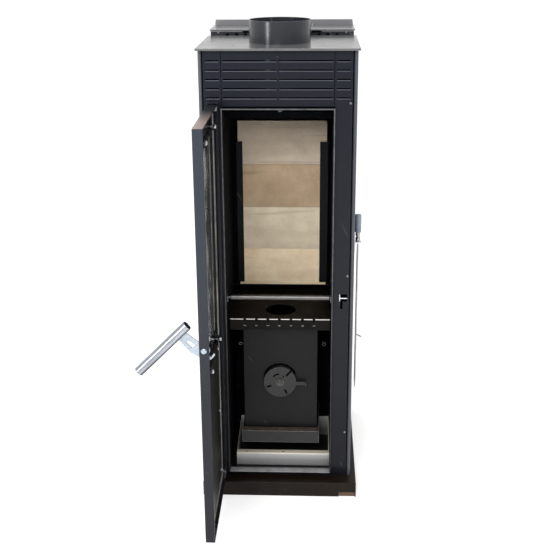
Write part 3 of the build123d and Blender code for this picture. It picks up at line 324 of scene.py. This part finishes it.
def metal(name, low, high, rough, stretch=(1, 1, 1), turn=(0, 0, 0), grain=700,
          stain=(0.25, 0.22, 0.18), stain_amount=0.3, bump=0.12, metallic=1.0, spangle=0.0, extra=None):
    """Bare or plated metal: drawn-out grain, patchy tone, stains and a painted highlight on its edges."""
    s = Shader(name)
    lines = s.noise(grain, 4, 0.6, stretch=stretch, turn=turn)
    patch = s.spread(s.noise(22, 5), 0.35, 0.7)
    color = s.mix(s.spread(lines, 0.3, 0.7), low, high)
    if spangle:
        facets = s.add("ShaderNodeTexVoronoi", Vector=s.coord, Scale=160.0)
        tones = s.add("ShaderNodeSeparateColor", Color=facets.outputs["Color"])
        color = s.mix(s.spread(tones.outputs[0], 0.0, 1.0, 0.0, spangle), color, scaled(low, 0.62))
    color = s.mix(s.both(patch, stain_amount), color, stain)
    rim, rounded = s.edges(0.0007)
    # Painted highlight: the metal's edges are made paler than its lightest tone
    color = s.mix(s.both(rim, 0.5), color, scaled(high, 1.2))
    uneven = s.math("ADD", s.both(lines, 0.6), s.both(patch, 0.4))
    color, roughness = s.layers(color, s.spread(uneven, 0.2, 0.8, *rough), extra)
    return s.finish(color, roughness, s.bump(lines, bump, 0.0003, rounded), metal=metallic)


def pan_ash_and_shade(s):
    """The ash pan's face fades darker downwards, with pale ash on its rim and painted shade on its floor.
    """
    fade = s.both(s.past(Z, PAN_LOW + 0.053, PAN_LOW + 0.017), s.facing(Y, -0.4, -0.7))
    upward = s.facing(Z, 0.5, 0.8)
    ash = s.both(upward, s.spread(s.noise(60, 5), 0.3, 0.6, 0.7, 1.0))
    behind_front = s.past(Y, PAN_FRONT + 0.003, PAN_FRONT + 0.011)
    inside = s.both(behind_front, s.past(Z, PAN_LOW + 0.035, PAN_LOW + 0.005))
    return [
        (fade, (0.22, 0.22, 0.22), 0.45),
        (ash, (0.85, 0.78, 0.62), 0.7),
        # Painted shade on the pan's floor
        (s.both(inside, upward), (0.012, 0.011, 0.010), 0.8),
    ]


def mineral(name, low, high, seed):
    """Fired clay, board or fibre, with dark specks, pits, pale grains, streaks and darker edges."""
    s = Shader(name)
    place = dict(shift=(seed * 0.37, seed * 0.11, seed * 0.53))
    cloud = s.spread(s.noise(16, 7, 0.6, **place), 0.32, 0.68)
    color = s.mix(cloud, low, high)
    specks = s.spread(s.cells(520, **place), 0.0, 0.22, 0.55, 0.0)
    color = s.mix(specks, color, scaled(low, 0.55))
    pale = s.spread(s.noise(260, 3, **place), 0.6, 0.7, 0.0, 0.5)
    color = s.mix(pale, color, scaled(high, 1.25))
    streaks = s.noise(18, 4, 0.5, stretch=(0.25, 1, 1), **place)
    color = s.mix(s.spread(streaks, 0.5, 0.75, 0.0, 0.5), color, scaled(low, 0.74))
    veins = s.noise(34, 3, 0.5, stretch=(0.06, 1, 1), **place)
    color = s.mix(s.spread(veins, 0.62, 0.66, 0.0, 0.35), color, scaled(low, 0.62))
    rim, rounded = s.edges(0.002)
    color = s.mix(s.both(rim, 0.6), color, scaled(low, 0.5))
    pitted = s.math("ADD", s.both(s.noise(300, 2), 0.6), s.both(s.cells(180, **place), 0.5))
    roughness = s.spread(cloud, 0, 1, 0.82, 0.95)
    return s.finish(color, roughness, s.bump(pitted, 0.7, 0.0012, rounded), specular=0.2)


def clear_glass(name):
    """Ceramic glass with a faint smoky haze."""
    s = Shader(name)
    haze = s.spread(s.noise(14, 5), 0.4, 0.7, 0.02, 0.12)
    color = s.mix(s.spread(s.noise(30, 4), 0.5, 0.8, 0.0, 0.3), (0.92, 0.95, 0.94), (0.75, 0.72, 0.66))
    mat = s.finish(color, haze, s.bump(s.noise(60, 2), 0.02, 0.0002))
    s.bsdf.inputs["Transmission Weight"].default_value = 1.0
    s.bsdf.inputs["IOR"].default_value = 1.48
    return mat


# Pale edge colour of the black paint: partly rubbed paint, partly a painted edge highlight
COOL_EDGE = (0.20, 0.21, 0.24)

# One material for each of the record's slots: dark tone, light tone, roughness from and to
MATERIALS = {
    "casing_black": paint(
        "casing_black", (0.0035, 0.0038, 0.006), (0.007, 0.0076, 0.011), (0.26, 0.38),
        specular=0.2, edge=COOL_EDGE, extra=painted_sheen_and_folds),
    # The plinth's strong pale edge line is partly rubbed paint and partly a painted highlight
    "plinth_brown": paint(
        "plinth_brown", (0.006, 0.0038, 0.0025), (0.012, 0.0078, 0.005), (0.34, 0.46),
        specular=0.13, edge=(0.34, 0.32, 0.29), edge_amount=0.8, dust_amount=0.0, extra=notch_plates),
    # The top plate's grey is partly its own colour and partly a painted reflection of the bright
    # surroundings in its satin paint
    "top_grey": paint(
        "top_grey", (0.10, 0.10, 0.105), (0.13, 0.13, 0.135), (0.16, 0.24), dust_amount=0.12),
    "flue_grey": paint(
        "flue_grey", (0.018, 0.020, 0.024), (0.026, 0.028, 0.034), (0.19, 0.25), specular=0.55),
    "firebox_steel": paint(
        "firebox_steel", (0.0018, 0.0021, 0.0032), (0.005, 0.0055, 0.0075), (0.8, 0.95),
        specular=0.06, edge=(0.2, 0.19, 0.19), edge_amount=0.15, dust=(0.12, 0.10, 0.08), extra=bare_lips),
    "cast_black": paint(
        "cast_black", (0.004, 0.004, 0.0045), (0.010, 0.0098, 0.010), (0.22, 0.36),
        specular=0.4, peel=0.3, edge=(0.2, 0.2, 0.2)),
    "bare_steel": metal(
        "bare_steel", (0.34, 0.34, 0.35), (0.58, 0.58, 0.59), (0.30, 0.44), stretch=(0.05, 1, 1)),
    "zinc": metal(
        "zinc", (0.52, 0.54, 0.56), (0.74, 0.75, 0.76), (0.22, 0.38), stain_amount=0.2),
    "galvanised": metal(
        "galvanised", (0.60, 0.60, 0.585), (0.80, 0.80, 0.79), (0.32, 0.46), stretch=(0.06, 1, 1),
        grain=400, stain_amount=0.1, metallic=0.4, spangle=0.2, extra=pan_ash_and_shade),
    "rope": mineral(
        "rope", (0.11, 0.105, 0.09), (0.30, 0.285, 0.25), 5),
    "poker_grip": paint(
        "poker_grip", (0.16, 0.20, 0.25), (0.27, 0.32, 0.38), (0.25, 0.35)),
    "poker_steel": metal(
        "poker_steel", (0.30, 0.30, 0.30), (0.50, 0.49, 0.48), (0.3, 0.45), stretch=(1, 1, 0.1)),
    "glass": clear_glass("glass"),
}

# Nodes whose look differs from that of their slot
SPECIAL = {
    "burner_top": paint(
        "burner_plate", (0.004, 0.0035, 0.003), (0.011, 0.009, 0.0075), (0.28, 0.5),
        specular=0.07, peel=0.35, edge=(0.25, 0.22, 0.2), edge_amount=0.2, extra=soot_and_fold_highlight),
    "hopper_neck": paint(
        "neck_black", (0.0045, 0.005, 0.0085), (0.0085, 0.0095, 0.0145), (0.26, 0.38),
        specular=0.36, edge=COOL_EDGE, extra=pale_upstand),
    "door_leaf": paint(
        "door_black", (0.0045, 0.005, 0.0085), (0.0085, 0.0095, 0.0145), (0.24, 0.34),
        specular=0.3, edge=COOL_EDGE, extra=door_painted_light),
    # The tube's long dark and light streaks are partly brushed grain and partly painted reflection bands
    # along it
    "handle_tube": metal(
        "brushed_tube_and_reflection", (0.12, 0.135, 0.16), (0.52, 0.545, 0.58), (0.22, 0.38), grain=150,
        stretch=(0.03, 1, 1), turn=(0, math.radians(45), 0), stain_amount=0.1),
    "handle_lever": metal(
        "blue_zinc", (0.30, 0.35, 0.40), (0.46, 0.51, 0.56), (0.34, 0.48), grain=300,
        stain=(0.2, 0.24, 0.3), metallic=0.7),
    "handle_bolt": metal(
        "blue_zinc_bolt", (0.22, 0.29, 0.36), (0.50, 0.56, 0.62), (0.25, 0.4), grain=500,
        stain=(0.1, 0.14, 0.2), metallic=0.8),
    "burner_front": paint(
        "burner_panel", (0.0045, 0.0045, 0.005), (0.0085, 0.0085, 0.009), (0.36, 0.5), specular=0.17),
    "ember_drawer": paint(
        "drawer_steel", (0.010, 0.010, 0.0105), (0.018, 0.018, 0.0185), (0.34, 0.48),
        specular=0.32, extra=ledge_dust_and_highlight),
    "firebox_floor": paint(
        "floor_steel", (0.0022, 0.0022, 0.0026), (0.006, 0.0058, 0.006), (0.40, 0.6),
        specular=0.2, edge_amount=0.3, extra=pale_sill),
    "brick_retainers": paint(
        "retainer_steel", (0.003, 0.0034, 0.005), (0.006, 0.0065, 0.009), (0.4, 0.55),
        specular=0.12, edge_amount=0.1),
    "air_valve_bolt": metal(
        "dark_bolt", (0.012, 0.012, 0.012), (0.10, 0.10, 0.10), (0.2, 0.4), grain=260,
        stain_amount=0.2, bump=0.6),
    "chute_bolts": metal(
        "grey_bolt", (0.40, 0.40, 0.40), (0.6, 0.6, 0.6), (0.35, 0.5), extra=painted_socket_shade),
    "casing_screws": metal(
        "dull_screw", (0.16, 0.16, 0.17), (0.26, 0.26, 0.27), (0.35, 0.5)),
    "guard_bar": metal(
        "guard_bar", (0.09, 0.09, 0.092), (0.17, 0.17, 0.175), (0.32, 0.46), stretch=(0.04, 1, 1)),
    "guard_bar_hooks": metal(
        "dull_hook", (0.07, 0.08, 0.10), (0.13, 0.14, 0.17), (0.35, 0.5)),
    "door_liner": paint(
        "liner_black", (0.004, 0.004, 0.004), (0.010, 0.0095, 0.009), (0.4, 0.6),
        specular=0.25, edge=(0.2, 0.19, 0.17), edge_amount=0.4),
}

# Dark and light tone of each brick and of the door's board. The bricks' tones are partly their own colour
# and partly painted light: the lower bricks are made paler to stand in for the light that reaches them.
MINERALS = {
    "firebrick_4": ((0.42, 0.345, 0.265), (0.54, 0.45, 0.345)),
    "firebrick_3": ((0.36, 0.26, 0.165), (0.48, 0.355, 0.235)),
    "firebrick_2": ((0.60, 0.50, 0.37), (0.76, 0.65, 0.49)),
    "firebrick_1": ((0.80, 0.60, 0.38), (0.94, 0.80, 0.58)),
    "door_board": ((0.020, 0.018, 0.016), (0.05, 0.046, 0.04)),
}


# ------------------------------------------------------------------ the door's braided rope
ROPE_HALF_W = 0.0044
ROPE_CORNER_R = 0.0075
ROPE_STEP = 0.00095
ROPE_SIDES = 18
STRANDS = 3
BRAID_PITCH = 0.008
CORNER_STEPS = 8


def rounded_loop(half_y, half_z, radius, step):
    """Evenly spaced points of a rounded rectangle in the YZ plane, and the distance between them."""
    points = []
    for corner, (sy, sz) in enumerate(((1, 1), (-1, 1), (-1, -1), (1, -1))):
        for i in range(CORNER_STEPS + 1):
            turn = math.radians(90 * corner + 90 * i / CORNER_STEPS)
            points.append(Vector((0, sy * (half_y - radius) + radius * math.cos(turn),
                                  sz * (half_z - radius) + radius * math.sin(turn))))
    lengths = [(points[(i + 1) % len(points)] - p).length for i, p in enumerate(points)]
    total = sum(lengths)
    count = int(total / step)
    even, at, done = [], 0, 0.0
    for i in range(count):
        goal = total * i / count
        while done + lengths[at] < goal:
            done += lengths[at]
            at += 1
        even.append(points[at].lerp(points[(at + 1) % len(points)], (goal - done) / lengths[at]))
    return even, total / count


def make_rope():
    """A square-laid braid round the door's inner edge: two families of strands that cross."""
    low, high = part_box("door_rope")
    middle = (Vector(low) + Vector(high)) / 2
    half_depth = (high[X] - low[X]) / 2
    half_y = (high[Y] - low[Y]) / 2 - ROPE_HALF_W
    half_z = (high[Z] - low[Z]) / 2 - ROPE_HALF_W
    loop, step = rounded_loop(half_y, half_z, ROPE_CORNER_R, ROPE_STEP)
    count = len(loop)
    verts, faces = [], []
    for i, point in enumerate(loop):
        ahead = (loop[(i + 1) % count] - loop[i - 1]).normalized()
        out = ahead.cross(Vector((1, 0, 0)))
        along = 2 * math.pi * i * step / BRAID_PITCH
        for j in range(ROPE_SIDES):
            angle = 2 * math.pi * j / ROPE_SIDES
            one = abs(math.cos(STRANDS * angle / 2 + along / 2))
            two = abs(math.cos(STRANDS * angle / 2 - along / 2))
            swell = 0.80 + 0.19 * max(one, two) ** 0.7 + 0.01 * random.random()
            sideways = out * ROPE_HALF_W * math.cos(angle) * swell
            verts.append(middle + point + sideways + Vector((half_depth * math.sin(angle) * swell, 0, 0)))
    for i in range(count):
        this, following = i * ROPE_SIDES, ((i + 1) % count) * ROPE_SIDES
        for j in range(ROPE_SIDES):
            k = (j + 1) % ROPE_SIDES
            faces.append((this + j, this + k, following + k, following + j))
    mesh = bpy.data.meshes.new("braided_rope")
    mesh.from_pydata(verts, [], faces)
    mesh.polygons.foreach_set("use_smooth", [True] * len(mesh.polygons))
    mesh.materials.append(MATERIALS["rope"])
    rope = bpy.data.objects.new("braided_rope", mesh)
    scene.collection.objects.link(rope)
    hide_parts("door_rope")
    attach(rope, "door")


make_rope()


# ------------------------------------------------------------------ the CAD nodes' materials
def material_of(name, slot):
    if name in SPECIAL:
        return SPECIAL[name]
    if name in MINERALS:
        seed = len(name) + sum(map(ord, name)) % 17
        return mineral(name, *MINERALS[name], seed)
    return MATERIALS[slot]


for row in frame["record"]["subparts"]:
    mesh = frame["nodes"][row["node"]].data
    mesh.materials.clear()
    mesh.materials.append(material_of(row["node"], row["material_slot"]))


# ------------------------------------------------------------------ floor and light
def make_floor():
    """A plain pale floor that glows a little, so that it meets the white behind without a line."""
    mesh = bpy.data.meshes.new("floor")
    left, right, front, back = -9, 9, -6, 12
    corners = [(left, front, 0), (right, front, 0), (right, back, 0), (left, back, 0)]
    mesh.from_pydata(corners, [], [(0, 1, 2, 3)])
    floor = bpy.data.objects.new("floor", mesh)
    scene.collection.objects.link(floor)
    s = Shader("floor")
    color = s.mix(s.spread(s.noise(3, 3), 0.3, 0.7), (0.90, 0.90, 0.90), (0.93, 0.93, 0.93))
    mesh.materials.append(s.finish(color, 0.7, s.bump(s.noise(200, 2), 0.02, 0.0005), specular=0.1))
    s.bsdf.inputs["Emission Color"].default_value = (1, 1, 1, 1)
    s.bsdf.inputs["Emission Strength"].default_value = 0.35


def make_light(name, at, target, size, power, color=(1, 1, 1)):
    data = bpy.data.lights.new(name, "AREA")
    data.shape = "RECTANGLE"
    data.size, data.size_y = size
    data.energy = power
    data.color = color
    lamp = bpy.data.objects.new(name, data)
    lamp.location = at
    lamp.rotation_euler = (Vector(target) - Vector(at)).to_track_quat("-Z", "Y").to_euler()
    scene.collection.objects.link(lamp)


def make_world():
    """Bright behind the stove, dimmer in front of it."""
    world = bpy.data.worlds.new("world")
    scene.world = world
    world.use_nodes = True
    tree = world.node_tree
    coord = tree.nodes.new("ShaderNodeTexCoord")
    parts = tree.nodes.new("ShaderNodeSeparateXYZ")
    spread = tree.nodes.new("ShaderNodeMapRange")
    tree.links.new(coord.outputs["Generated"], parts.inputs[0])
    tree.links.new(parts.outputs["Y"], spread.inputs[0])
    in_front, behind = (-0.6, 0.55), (0.35, 1.0)
    for index, number in zip(range(1, 5), (in_front[0], behind[0], in_front[1], behind[1])):
        spread.inputs[index].default_value = number
    back = tree.nodes["Background"]
    back.inputs[0].default_value = (1, 1, 1, 1)
    tree.links.new(spread.outputs[0], back.inputs[1])


make_floor()
make_world()
make_light("key", (-0.7, -3.1, 2.7), (0, 0, 0.55), (1.6, 1.2), 95)
make_light("strip", (-2.16, -2.08, 0.95), (0, 0, 1.0), (0.30, 1.6), 26, (0.93, 0.96, 1.0))
make_light("fill", (1.7, -2.2, 3.0), (0, 0, 0.3), (1.4, 1.4), 24, (1.0, 0.97, 0.94))
scene.view_settings.view_transform = "Standard"
